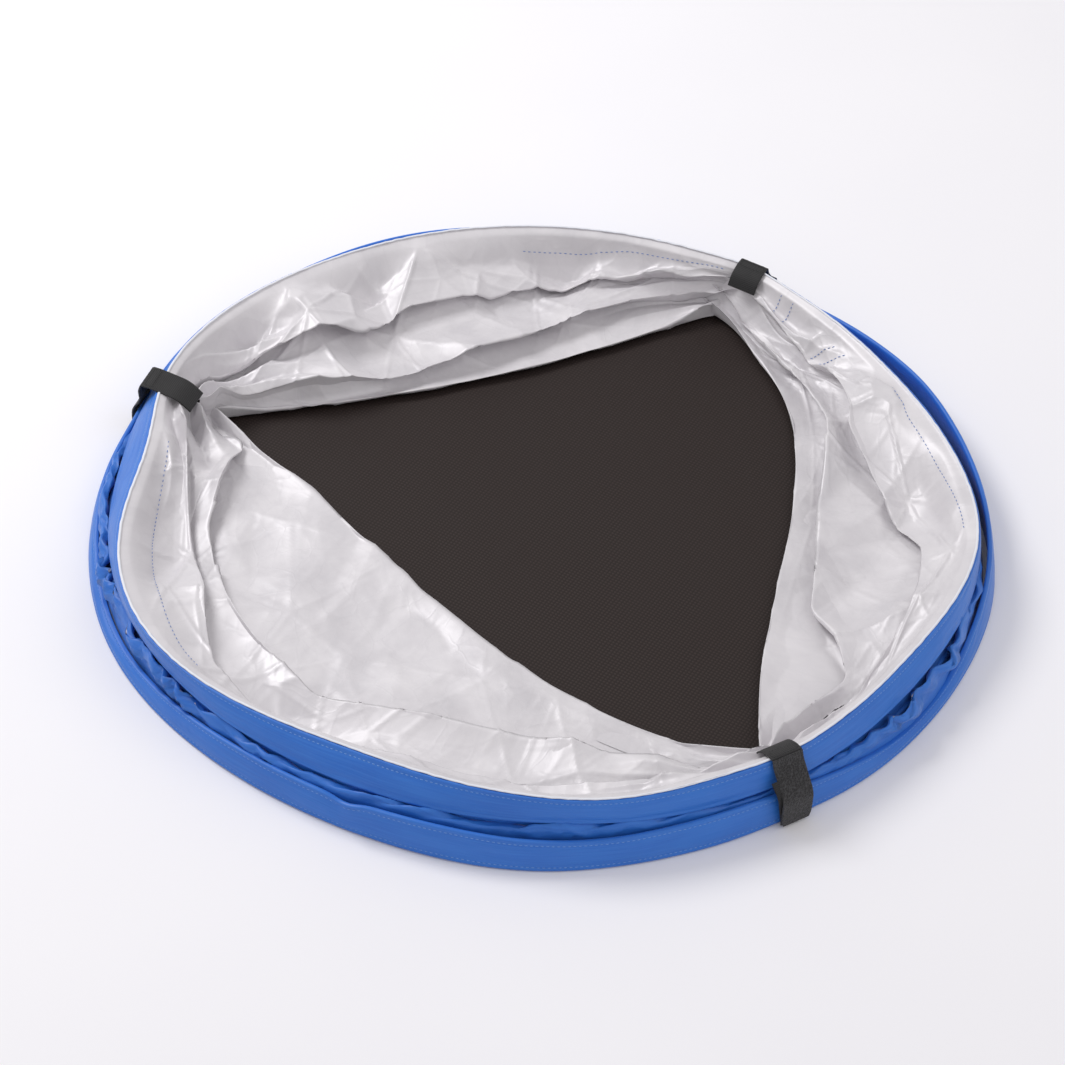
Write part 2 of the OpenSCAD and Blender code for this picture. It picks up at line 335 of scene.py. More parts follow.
def blue_taffeta():
    """Polyester taffeta, plain woven and coated: a soft satin face, faint streaks along the yarn,
    paler where it is rubbed and stretched."""
    if "Blue polyester taffeta" in bpy.data.materials:
        return bpy.data.materials["Blue polyester taffeta"]
    colours = bpy.context.scene.shelter_colours
    finish, tree, shader = finish_of("Blue polyester taffeta")
    # yarn streaks: about 1.5 mm across the cloth and 60 mm long
    streaks = add(tree, "ShaderNodeTexNoise", {"Vector": stretched_coords(tree, "UV", (16, 650, 1)), "Scale": 1.0, "Detail": 3.0})
    cloudy = add(tree, "ShaderNodeTexNoise", {"Vector": stretched_coords(tree, "Object", (1, 1, 1)), "Scale": 14.0, "Detail": 4.0})
    tone = add(tree, "ShaderNodeMix", {0: cloudy.outputs[0], 6: tuple(colours.blue_shade) + (1,), 7: tuple(colours.blue) + (1,)}, data_type="RGBA")
    lift = add(tree, "ShaderNodeMapRange", {0: streaks.outputs[0], 1: 0.35, 2: 0.8, 3: 0.0, 4: 0.35})
    colour = add(tree, "ShaderNodeMix", {0: lift.outputs[0], 6: tone.outputs[2], 7: tuple(colours.blue_worn) + (1,)}, data_type="RGBA")
    tree.links.new(colour.outputs[2], shader.inputs["Base Color"])
    rough = add(tree, "ShaderNodeMapRange", {0: streaks.outputs[0], 3: 0.38, 4: 0.54})
    tree.links.new(rough.outputs[0], shader.inputs["Roughness"])
    shader.inputs["Sheen Weight"].default_value = 0.15
    shader.inputs["Sheen Roughness"].default_value = 0.4
    shader.inputs["IOR"].default_value = 1.5
    # the weave is 0.2 mm in the cloth, drawn at 0.9 mm so that it shows close up
    warp = add(tree, "ShaderNodeTexWave", {"Vector": stretched_coords(tree, "UV", (1, 1, 1)), "Scale": 350.0, "Distortion": 0.4}, bands_direction="X")
    weft = add(tree, "ShaderNodeTexWave", {"Vector": stretched_coords(tree, "UV", (1, 1, 1)), "Scale": 350.0, "Distortion": 0.4}, bands_direction="Y")
    weave = add(tree, "ShaderNodeMath", {0: warp.outputs[1], 1: weft.outputs[1]}, operation="MULTIPLY")
    grain = add(tree, "ShaderNodeBump", {"Height": weave.outputs[0], "Strength": 0.12, "Distance": 0.0003})
    creases = add(tree, "ShaderNodeTexNoise", {"Vector": stretched_coords(tree, "UV", (22, 60, 1)), "Scale": 1.0, "Detail": 3.0, "Distortion": 0.8})
    bump = add(tree, "ShaderNodeBump", {"Height": creases.outputs[0], "Normal": grain.outputs[0], "Strength": 0.35, "Distance": 0.004})
    tree.links.new(bump.outputs[0], shader.inputs["Normal"])
    return finish


def silver_coating(name="Silver-coated polyester"):
    """Polyurethane coating with aluminium pigment on woven cloth: pale, satin, keeps every crease."""
    if name in bpy.data.materials:
        return bpy.data.materials[name]
    colours = bpy.context.scene.shelter_colours
    finish, tree, shader = finish_of(name)
    cloudy = add(tree, "ShaderNodeTexNoise", {"Vector": stretched_coords(tree, "UV", (1, 1, 1)), "Scale": 16.0, "Detail": 5.0, "Roughness": 0.6})
    tone = add(tree, "ShaderNodeMapRange", {0: cloudy.outputs[0], 1: 0.3, 2: 0.7})
    # hairline creases, 12 to 40 mm apart, painted darker as shade along each crease
    bent = add(tree, "ShaderNodeTexNoise", {"Vector": stretched_coords(tree, "UV", (1, 1, 1)), "Scale": 20.0, "Detail": 2.0})
    coords = stretched_coords(tree, "UV", (1, 1, 1))
    shift = add(tree, "ShaderNodeVectorMath", {0: bent.outputs[1], 1: (0.03, 0.03, 0.0)}, operation="MULTIPLY")
    moved = add(tree, "ShaderNodeVectorMath", {0: coords, 1: shift.outputs[0]}, operation="ADD")
    crease_net = add(tree, "ShaderNodeTexVoronoi", {"Vector": moved.outputs[0], "Scale": 30.0}, feature="DISTANCE_TO_EDGE")
    line = add(tree, "ShaderNodeMapRange", {0: crease_net.outputs[0], 1: 0.0, 2: 0.05, 3: 1.0, 4: 0.0})
    colour = add(tree, "ShaderNodeMix", {0: tone.outputs[0], 6: tuple(colours.silver_shade) + (1,), 7: tuple(colours.silver) + (1,)}, data_type="RGBA")
    faint = add(tree, "ShaderNodeMath", {0: line.outputs[0], 1: 0.04}, operation="MULTIPLY")
    # painted shade: the coating is drawn a little darker along the hairline creases
    crease_shaded = add(tree, "ShaderNodeMix", {0: faint.outputs[0], 6: colour.outputs[2], 7: tuple(colours.silver_crease_shade) + (1,)}, data_type="RGBA")
    tree.links.new(crease_shaded.outputs[2], shader.inputs["Base Color"])
    rough = add(tree, "ShaderNodeMapRange", {0: cloudy.outputs[0], 1: 0.3, 2: 0.75, 3: 0.38, 4: 0.54})
    tree.links.new(rough.outputs[0], shader.inputs["Roughness"])
    shader.inputs["Metallic"].default_value = 0.12
    # pressed facets under the hand: plates 25 to 60 mm across, a fraction of a millimetre deep
    plates = add(tree, "ShaderNodeTexVoronoi", {"Vector": moved.outputs[0], "Scale": 17.0}, feature="F1")
    press = add(tree, "ShaderNodeBump", {"Height": plates.outputs[0], "Strength": 0.3, "Distance": 0.008})
    nick = add(tree, "ShaderNodeBump", {"Height": line.outputs[0], "Normal": press.outputs[0], "Strength": 0.12, "Distance": 0.0006})
    grain = add(tree, "ShaderNodeTexNoise", {"Vector": coords, "Scale": 240.0, "Detail": 3.0})
    bump = add(tree, "ShaderNodeBump", {"Height": grain.outputs[0], "Normal": nick.outputs[0], "Strength": 0.1, "Distance": 0.0006})
    tree.links.new(bump.outputs[0], shader.inputs["Normal"])
    return finish


def woven_floor():
    """Coated polyethylene weave: flat tapes over and under one another, matt with a faint gleam."""
    colours = bpy.context.scene.shelter_colours
    sizes = bpy.context.scene.shelter_sizes
    finish, tree, shader = finish_of("Coated woven floor cloth")
    coords = stretched_coords(tree, "Object", (1, 1, 1), math.radians(28))
    scale = 0.3142 / sizes.weave_pitch
    warp = add(tree, "ShaderNodeTexWave", {"Vector": coords, "Scale": scale, "Distortion": 0.25, "Detail": 1.0}, bands_direction="X")
    weft = add(tree, "ShaderNodeTexWave", {"Vector": coords, "Scale": scale, "Distortion": 0.25, "Detail": 1.0}, bands_direction="Y")
    weave = add(tree, "ShaderNodeMath", {0: warp.outputs[1], 1: weft.outputs[1]}, operation="MULTIPLY")
    wear = add(tree, "ShaderNodeTexNoise", {"Vector": coords, "Scale": 7.0, "Detail": 6.0, "Roughness": 0.65})
    tone = add(tree, "ShaderNodeMix", {0: wear.outputs[0], 6: tuple(colours.floor) + (1,), 7: tuple(colours.floor_worn) + (1,)}, data_type="RGBA")
    # painted shade: the weave's low places between the tapes are drawn darker
    weave_shade = add(tree, "ShaderNodeMapRange", {0: weave.outputs[0], 1: 0.05, 2: 0.5, 3: 0.75, 4: 0.0})
    colour = add(tree, "ShaderNodeMix", {0: weave_shade.outputs[0], 6: tone.outputs[2], 7: tuple(colours.floor_gap) + (1,)}, data_type="RGBA")
    tree.links.new(colour.outputs[2], shader.inputs["Base Color"])
    rough = add(tree, "ShaderNodeMapRange", {0: weave.outputs[0], 3: 0.75, 4: 0.5})
    tree.links.new(rough.outputs[0], shader.inputs["Roughness"])
    shader.inputs["Specular IOR Level"].default_value = 0.35
    bump = add(tree, "ShaderNodeBump", {"Height": weave.outputs[0], "Strength": 0.4, "Distance": 0.0005})
    tree.links.new(bump.outputs[0], shader.inputs["Normal"])
    return finish


def black_webbing():
    """Polyester webbing, tightly woven: ribs across the strap, a low sheen on the yarn."""
    if "Black polyester webbing" in bpy.data.materials:
        return bpy.data.materials["Black polyester webbing"]
    colours = bpy.context.scene.shelter_colours
    finish, tree, shader = finish_of("Black polyester webbing")
    coords = stretched_coords(tree, "UV", (1, 1, 1))
    # ribs 1.7 mm apart along the strap, yarns 1.3 mm apart across it
    ribs = add(tree, "ShaderNodeTexWave", {"Vector": coords, "Scale": 185.0, "Distortion": 0.6, "Detail": 2.0}, bands_direction="X")
    yarns = add(tree, "ShaderNodeTexWave", {"Vector": coords, "Scale": 240.0, "Distortion": 0.6, "Detail": 2.0}, bands_direction="Y")
    weave = add(tree, "ShaderNodeMath", {0: ribs.outputs[1], 1: yarns.outputs[1]}, operation="MULTIPLY")
    fade = add(tree, "ShaderNodeTexNoise", {"Vector": coords, "Scale": 90.0, "Detail": 4.0})
    mixed = add(tree, "ShaderNodeMath", {0: weave.outputs[0], 1: fade.outputs[0]}, operation="MULTIPLY")
    # painted sheen: the high points of the weave are drawn lighter, patchy with the noise
    lift = add(tree, "ShaderNodeMapRange", {0: mixed.outputs[0], 1: 0.0, 2: 0.6})
    colour = add(tree, "ShaderNodeMix", {0: lift.outputs[0], 6: tuple(colours.black) + (1,), 7: tuple(colours.webbing_sheen) + (1,)}, data_type="RGBA")
    tree.links.new(colour.outputs[2], shader.inputs["Base Color"])
    rough = add(tree, "ShaderNodeMapRange", {0: fade.outputs[0], 3: 0.55, 4: 0.75})
    tree.links.new(rough.outputs[0], shader.inputs["Roughness"])
    shader.inputs["Sheen Weight"].default_value = 0.08
    shader.inputs["Sheen Roughness"].default_value = 0.5
    bump = add(tree, "ShaderNodeBump", {"Height": weave.outputs[0], "Strength": 0.6, "Distance": 0.0005})
    tree.links.new(bump.outputs[0], shader.inputs["Normal"])
    return finish


def loop_tape():
    """Hook-and-loop tape in nylon: a fuzzy brushed face of tiny loops, dull, with grey flecks."""
    if "Black hook-and-loop tape" in bpy.data.materials:
        return bpy.data.materials["Black hook-and-loop tape"]
    colours = bpy.context.scene.shelter_colours
    finish, tree, shader = finish_of("Black hook-and-loop tape")
    coords = stretched_coords(tree, "UV", (1, 1, 1))
    # loops about 0.8 mm across
    fuzz = add(tree, "ShaderNodeTexNoise", {"Vector": coords, "Scale": 900.0, "Detail": 4.0, "Roughness": 0.7, "Distortion": 1.0})
    tufts = add(tree, "ShaderNodeTexVoronoi", {"Vector": coords, "Scale": 620.0}, feature="F1")
    pile = add(tree, "ShaderNodeMath", {0: fuzz.outputs[0], 1: tufts.outputs[0]}, operation="MULTIPLY")
    lift = add(tree, "ShaderNodeMapRange", {0: pile.outputs[0], 1: 0.12, 2: 0.45})
    colour = add(tree, "ShaderNodeMix", {0: lift.outputs[0], 6: tuple(colours.black) + (1,), 7: tuple(colours.fuzz) + (1,)}, data_type="RGBA")
    tree.links.new(colour.outputs[2], shader.inputs["Base Color"])
    rough = add(tree, "ShaderNodeMapRange", {0: fuzz.outputs[0], 3: 0.8, 4: 1.0})
    tree.links.new(rough.outputs[0], shader.inputs["Roughness"])
    shader.inputs["Sheen Weight"].default_value = 0.12
    shader.inputs["Sheen Roughness"].default_value = 0.7
    bump = add(tree, "ShaderNodeBump", {"Height": pile.outputs[0], "Strength": 1.0, "Distance": 0.0012})
    tree.links.new(bump.outputs[0], shader.inputs["Normal"])
    return finish


def thread(name, colour):
    """Twisted polyester sewing thread: a slight gloss, the twist 0.7 mm long."""
    if name in bpy.data.materials:
        return bpy.data.materials[name]
    finish, tree, shader = finish_of(name)
    coords = stretched_coords(tree, "Object", (1, 1, 1))
    twist = add(tree, "ShaderNodeTexWave", {"Vector": coords, "Scale": 450.0, "Distortion": 1.0}, bands_direction="DIAGONAL")
    # painted shade: the grooves of the twist are drawn 30% darker
    dark = tuple(0.7 * c for c in colour) + (1,)
    mixed = add(tree, "ShaderNodeMix", {0: twist.outputs[1], 6: dark, 7: tuple(colour) + (1,)}, data_type="RGBA")
    tree.links.new(mixed.outputs[2], shader.inputs["Base Color"])
    shader.inputs["Roughness"].default_value = 0.5
    bump = add(tree, "ShaderNodeBump", {"Height": twist.outputs[1], "Strength": 0.3, "Distance": 0.0002})
    tree.links.new(bump.outputs[0], shader.inputs["Normal"])
    return finish


def edge_tape():
    """Folded polyester edge tape: off-white, satin, slightly soiled where it is handled."""
    colours = bpy.context.scene.shelter_colours
    finish, tree, shader = finish_of("White folded edge tape")
    coords = stretched_coords(tree, "UV", (1, 1, 1))
    soil = add(tree, "ShaderNodeTexNoise", {"Vector": coords, "Scale": 60.0, "Detail": 5.0})
    colour = add(tree, "ShaderNodeMix", {0: soil.outputs[0], 6: tuple(colours.edge_soiled) + (1,), 7: tuple(colours.edge) + (1,)}, data_type="RGBA")
    tree.links.new(colour.outputs[2], shader.inputs["Base Color"])
    shader.inputs["Roughness"].default_value = 0.5
    pucker = add(tree, "ShaderNodeTexNoise", {"Vector": stretched_coords(tree, "UV", (160, 60, 1)), "Scale": 1.0, "Detail": 2.0})
    bump = add(tree, "ShaderNodeBump", {"Height": pucker.outputs[0], "Strength": 0.5, "Distance": 0.001})
    tree.links.new(bump.outputs[0], shader.inputs["Normal"])
    return finish


def drawn_steel(name, code, roughness):
    """Steel drawn or rolled to shape: fine lines along the wire, a cold grey gleam."""
    finish, tree, shader = finish_of(name)
    coords = stretched_coords(tree, "Object", (1, 1, 1))
    lines = add(tree, "ShaderNodeTexNoise", {"Vector": coords, "Scale": 500.0, "Detail": 3.0})
    tone = linear(code)
    dark = tuple(0.75 * c for c in tone[:3]) + (1,)
    colour = add(tree, "ShaderNodeMix", {0: lines.outputs[0], 6: dark, 7: tone}, data_type="RGBA")
    tree.links.new(colour.outputs[2], shader.inputs["Base Color"])
    shader.inputs["Metallic"].default_value = 1.0
    rough = add(tree, "ShaderNodeMapRange", {0: lines.outputs[0], 3: roughness - 0.06, 4: roughness + 0.08})
    tree.links.new(rough.outputs[0], shader.inputs["Roughness"])
    bump = add(tree, "ShaderNodeBump", {"Height": lines.outputs[0], "Strength": 0.15, "Distance": 0.0002})
    tree.links.new(bump.outputs[0], shader.inputs["Normal"])
    return finish


def studio_white():
    """Matt painted studio floor, very slightly mottled."""
    finish, tree, shader = finish_of("Matt studio floor")
    mottle = add(tree, "ShaderNodeTexNoise", {"Vector": stretched_coords(tree, "Object", (1, 1, 1)), "Scale": 3.0})
    colour = add(tree, "ShaderNodeMix", {0: mottle.outputs[0], 6: linear("#F0EFF3"), 7: linear("#F5F4F7")}, data_type="RGBA")
    tree.links.new(colour.outputs[2], shader.inputs["Base Color"])
    shader.inputs["Roughness"].default_value = 0.85
    return finish


# ---------------------------------------------------------------- settings


def colour_setting(name, code, description):
    return bpy.props.FloatVectorProperty(name=name, description=description, subtype="COLOR", size=3, min=0, max=1, default=linear(code)[:3])


def length_setting(name, default, description):
    return bpy.props.FloatProperty(name=name, description=description, default=default, min=0, unit="LENGTH", precision=4)


class ShelterSizes(bpy.types.PropertyGroup):
    """Sizes that change the look of the cloth, stitches and straps."""

    sleeve_thick: length_setting("Sleeve thickness", 5 * MM, "How thick a sleeve lies with its hoop inside")
    stitch_pitch: length_setting("Stitch pitch", 4.4 * MM, "Distance from one stitch to the next")
    stitch_length: length_setting("Stitch length", 3.2 * MM, "Length of the thread that shows in one stitch")
    thread: length_setting("Thread", 0.8 * MM, "Width of the sewing thread")
    weave_pitch: length_setting("Floor weave pitch", 3.4 * MM, "Distance between the tapes of the floor's weave")
    webbing_thick: length_setting("Webbing thickness", 1.6 * MM, "Thickness of the straps")
    crease_depth: length_setting("Crease depth", 2.4 * MM, "How deep the small sharp folds of the lining are pressed")
    plate_share: bpy.props.FloatProperty(name="Plate height", description="How far the flat plates lift or sink, as a share of the cloth's height", default=0.5, min=0, max=0.6)
    plate: length_setting("Plate", 90 * MM, "About how wide the flat plates of the lining are")


class ShelterColours(bpy.types.PropertyGroup):
    """Colours of the cloth, coating, floor, straps and thread."""

    blue: colour_setting("Blue", "#2673D0", "The sleeves' and walls' outer face")
    blue_shade: colour_setting("Blue, deeper", "#1F60BE", "The same cloth in its deeper patches")
    blue_worn: colour_setting("Blue, worn", "#4A8EE2", "Where the blue cloth is rubbed or pulled tight")
    silver: colour_setting("Silver", "#DFDCDF", "The lining's coating")
    silver_shade: colour_setting("Silver, deeper", "#CECBCF", "The coating in its duller patches")
    # painted shade in the lining's hairline creases
    silver_crease_shade: colour_setting("Silver, creased", "#A9A8AE", "Hairline creases in the coating")
    floor: colour_setting("Floor", "#2A201D", "The floor cloth")
    floor_worn: colour_setting("Floor, worn", "#291B17", "The floor cloth where feet have polished it")
    # painted shade between the tapes of the weave
    floor_gap: colour_setting("Floor, shade between tapes", "#1B1210", "Between the tapes of the weave")
    black: colour_setting("Webbing", "#0E0D0F", "The straps")
    # painted sheen on the high points of the webbing
    webbing_sheen: colour_setting("Webbing, painted sheen", "#262527", "High points of the webbing")
    fuzz: colour_setting("Tape fuzz", "#38373A", "Loose loops of the hook-and-loop tape")
    edge: colour_setting("Edge tape", "#ECEDF3", "The tape along the rim")
    edge_soiled: colour_setting("Edge tape, soiled", "#D3D6DF", "The same tape where it is handled")
    blue_thread: colour_setting("Blue thread", "#79A9EC", "Thread on the blue cloth")
    lining_thread: colour_setting("Lining thread", "#5B83C9", "Thread that shows on the silver side")
    black_thread: colour_setting("Black thread", "#1E1D20", "Thread on the straps")


# ---------------------------------------------------------------- tucked walls

CORNERS = {"left": (348, 159), "back": (371, 64.5), "front": (352, -55.5)}


def polar(r, azimuth):
    turn = math.radians(azimuth)
    return np.array([r * math.cos(turn), r * math.sin(turn)]) * MM


def opening_edge(a, b, bow, t):
    """The line of the floor opening from corner a to corner b, bowed outwards by bow (mm) at its thirds."""
    way = (b - a) / np.linalg.norm(b - a)
    out = np.array([-way[1], way[0]])
    out = out * np.sign(-out @ a)
    p = a + (b - a) / 3 + out * bow[0] * MM
    q = a + (b - a) * 2 / 3 + out * bow[1] * MM
    return (1 - t) ** 3 * a + 3 * (1 - t) ** 2 * t * p + 3 * (1 - t) * t * t * q + t**3 * b


def value_along(points, s, straight=False):
    """Eases through (share, value) points, or runs straight from one to the next."""
    last = points[0]
    for point in points[1:]:
        if s <= point[0]:
            part = (s - last[0]) / (point[0] - last[0])
            part = min(1.0, max(0.0, part)) if straight else smooth(part)
            return last[1] + (point[1] - last[1]) * part
        last = point
    return last[1]


# Each tucked wall runs from strap to strap. A pleat has the line of its front fold, as a share of the
# way in from the rim, and how far (mm) its cloth turns back under itself, both eased along the wall.
FOLDS = {
    "back": {
        "from": ("back", 60.0),
        "to": ("left", 163.5),
        "bow": (42, 40),
        "pleats": [
            {"line": [(0, 0.2), (0.12, 0.26), (0.3, 0.32), (0.56, 0.44), (0.65, 0.62), (0.88, 0.42), (1, 0.3)], "back": [(0, 6), (0.3, 16), (0.6, 30), (0.8, 18), (1, 4)]},
            {"line": [(0, 0.45), (0.1, 0.52), (0.25, 0.7), (0.4, 0.83), (0.68, 0.95), (1, 0.9)], "back": [(0, 8), (0.3, 26), (0.6, 14), (0.8, 3), (1, 2)]},
        ],
    },
    "left": {
        "from": ("left", 163.5),
        "to": ("front", 303.0),
        "bow": (10, -125),
        "pleats": [
            {"line": [(0, 0.3), (0.06, 0.35), (0.2, 0.36), (0.32, 0.3), (0.42, 0.12), (0.55, 0.1), (0.7, 0.2), (0.85, 0.3), (1, 0.35)], "back": [(0, 4), (0.15, 24), (0.3, 34), (0.45, 6), (0.6, 12), (0.8, 24), (1, 5)]},
            {"line": [(0, 0.6), (0.04, 0.8), (0.09, 0.94), (0.14, 0.72), (0.22, 0.46), (0.34, 0.36), (0.5, 0.32), (0.62, 0.48), (0.78, 0.62), (1, 0.66)], "back": [(0, 6), (0.09, 22), (0.22, 34), (0.4, 5), (0.52, 14), (0.7, 32), (0.85, 26), (1, 6)]},
        ],
    },
    "right": {
        "from": ("front", -57.0),
        "to": ("back", 60.0),
        "bow": (10, -150),
        "pleats": [
            {"line": [(0, 0.3), (0.14, 0.25), (0.3, 0.2), (0.44, 0.27), (0.52, 0.44), (0.65, 0.66), (0.76, 0.45), (0.88, 0.5), (1, 0.4)], "back": [(0, 5), (0.15, 14), (0.3, 12), (0.45, 30), (0.6, 36), (0.75, 20), (0.88, 16), (1, 5)]},
            {"line": [(0, 0.6), (0.12, 0.55), (0.21, 0.4), (0.31, 0.8), (0.52, 0.86), (0.74, 0.76), (0.86, 0.86), (1, 0.7)], "back": [(0, 6), (0.15, 20), (0.21, 24), (0.31, 34), (0.6, 26), (0.8, 24), (1, 6)]},
        ],
    },
}
FOLD_STEPS = 88
START_R = RIM_R - 0.8 * MM


def fold_sections(fold):
    """Rows of points across a tucked wall, from the rim in over its pleats and back under to the rim."""
    a = polar(*CORNERS[fold["from"][0]])
    b = polar(*CORNERS[fold["to"][0]])
    rows = []
    for i in range(FOLD_STEPS + 1):
        # the ends run a little past the straps, under their neighbours
        s = -0.02 + 1.04 * i / FOLD_STEPS
        turn = math.radians(fold["from"][1] + (fold["to"][1] - fold["from"][1]) * s)
        out = np.array([START_R * math.cos(turn), START_R * math.sin(turn)])
        inner = opening_edge(a, b, fold["bow"], s)
        depth = np.linalg.norm(inner - out)
        open_up = smooth(min(s, 1 - s) / 0.12)
        knots = [(0.0, RIM_Z + 0.2 * MM, 1), (3 * MM / max(depth, 0.03), RIM_Z - 2 * MM, 1)]
        for k, pleat in enumerate(fold["pleats"]):
            share = value_along(pleat["line"], s, straight=True)
            back = min(value_along(pleat["back"], s) * MM / max(depth, 0.03), 0.3)
            z = MM * (35 - 11 * k + 12 * (1 - open_up))
            knots += [(share, z, 10 - k), (share - back, z - 8 * MM, 4)]
        hem = 30 * MM / max(depth, 0.06)
        knots += [(1.0, MM * (9 + 12 * (1 - open_up)), 14), (1.0 - 0.12 * hem, 4 * MM, 2), (1.0 - hem, 3.4 * MM, 4)]
        row = [knots[0][:2]]
        for last, knot in zip(knots, knots[1:]):
            for j in range(1, knot[2] + 1):
                f = j / knot[2]
                sag = 6 * MM * math.sin(math.pi * f) if knot[2] >= 8 else 0
                row.append((last[0] + (knot[0] - last[0]) * f, last[1] + (knot[1] - last[1]) * f - sag))
        rows.append([Vector((*(out + (inner - out) * share), max(z, 3.2 * MM))) for share, z in row])
    return rows


def fold_rows(fold):
    """The grid rows that are folded edges: each pleat's front and back, and the opening's edge."""
    found, row = [], 1
    for k in range(len(fold["pleats"])):
        found += [row + 10 - k, row + 14 - k]
        row += 14 - k
    return found + [row + 14]


def fold_mesh(name, fold):
    """A tucked wall's grid, with UVs in metres along the rim and across the cloth."""
    rows = fold_sections(fold)
    across = len(rows[0])
    wide = abs(math.radians(fold["to"][1] - fold["from"][1])) * START_R
    bm = bmesh.new()
    bmesh.ops.create_grid(bm, x_segments=FOLD_STEPS, y_segments=across - 1, size=0.5)
    bm.verts.ensure_lookup_table()
    order = sorted(bm.verts, key=lambda v: (round(v.co.x, 5), round(v.co.y, 5)))
    lengths = [0.0]
    for j in range(1, across):
        lengths.append(lengths[-1] + (rows[FOLD_STEPS // 2][j] - rows[FOLD_STEPS // 2][j - 1]).length)
    uv = bm.loops.layers.uv.new("UVMap")
    flat = {}
    for k, vert in enumerate(order):
        i, j = divmod(k, across)
        point = rows[i][j].copy()
        if 0 < j < across - 1 and 0 < i < FOLD_STEPS:
            spot = Vector((point.x * 22 + 7, point.y * 22, j * 0.12 + len(name)))
            point += 0.7 * MM * noise.noise_vector(spot)
        point.z = max(point.z, 3.2 * MM)
        vert.co = point
        flat[vert] = (wide * i / FOLD_STEPS, lengths[j])
    for face in bm.faces:
        for loop in face.loops:
            loop[uv].uv = flat[loop.vert]
    sharp = bm.edges.layers.float.new("crease_edge")
    for j in fold_rows(fold):
        for i in range(FOLD_STEPS):
            edge = bm.edges.get((order[i * across + j], order[(i + 1) * across + j]))
            edge[sharp] = 0.85
    bm.normal_update()
    if sum(face.normal.z * face.calc_area() for face in bm.faces if face.calc_center_median().z > 12 * MM) < 0:
        bmesh.ops.reverse_faces(bm, faces=bm.faces)
    index = [vert.index for vert in order]
    area = sum(face.calc_area() for face in bm.faces)
    return bm, index, across, (wide, area / wide)


def plates(u, v, wide, long, pitch, seed):
    """Heights from -1 to 1 of flat plates that meet in sharp creases, about pitch metres across."""
    chance = np.random.default_rng(seed)
    columns, rows = max(2, round(wide / pitch)), max(2, round(long / pitch))
    spots = []
    for i in range(-1, columns + 2):
        for j in range(-1, rows + 2):
            shift = chance.uniform(-0.42, 0.42, 2)
            spots.append(((i + shift[0]) * wide / columns, (j + shift[1]) * long / rows))
    high = chance.uniform(-1, 1, len(spots))
    found = geometry.delaunay_2d_cdt([Vector(s) for s in spots], [], [], 0, 1e-6)
    corner = [found[3][k][0] for k in range(len(found[0]))]
    height = np.zeros_like(u)
    for face in found[2]:
        (x0, y0), (x1, y1), (x2, y2) = (found[0][k] for k in face)
        h0, h1, h2 = (high[corner[k]] for k in face)
        area = (x1 - x0) * (y2 - y0) - (x2 - x0) * (y1 - y0)
        a = ((u - x0) * (y2 - y0) - (x2 - x0) * (v - y0)) / area
        b = ((x1 - x0) * (v - y0) - (u - x0) * (y1 - y0)) / area
        inside = (a >= -1e-6) & (b >= -1e-6) & (a + b <= 1 + 1e-6)
        longest = max(math.hypot(x1 - x0, y1 - y0), math.hypot(x2 - x1, y2 - y1), math.hypot(x0 - x2, y0 - y2))
        edge = np.minimum(np.minimum(a, b), 1 - a - b) * abs(area) / longest
        pinch = 0.08 * np.exp(-((edge / (1.6 * MM)) ** 2))
        height[inside] = (h0 + (h1 - h0) * a + (h2 - h0) * b + pinch)[inside]
    return height


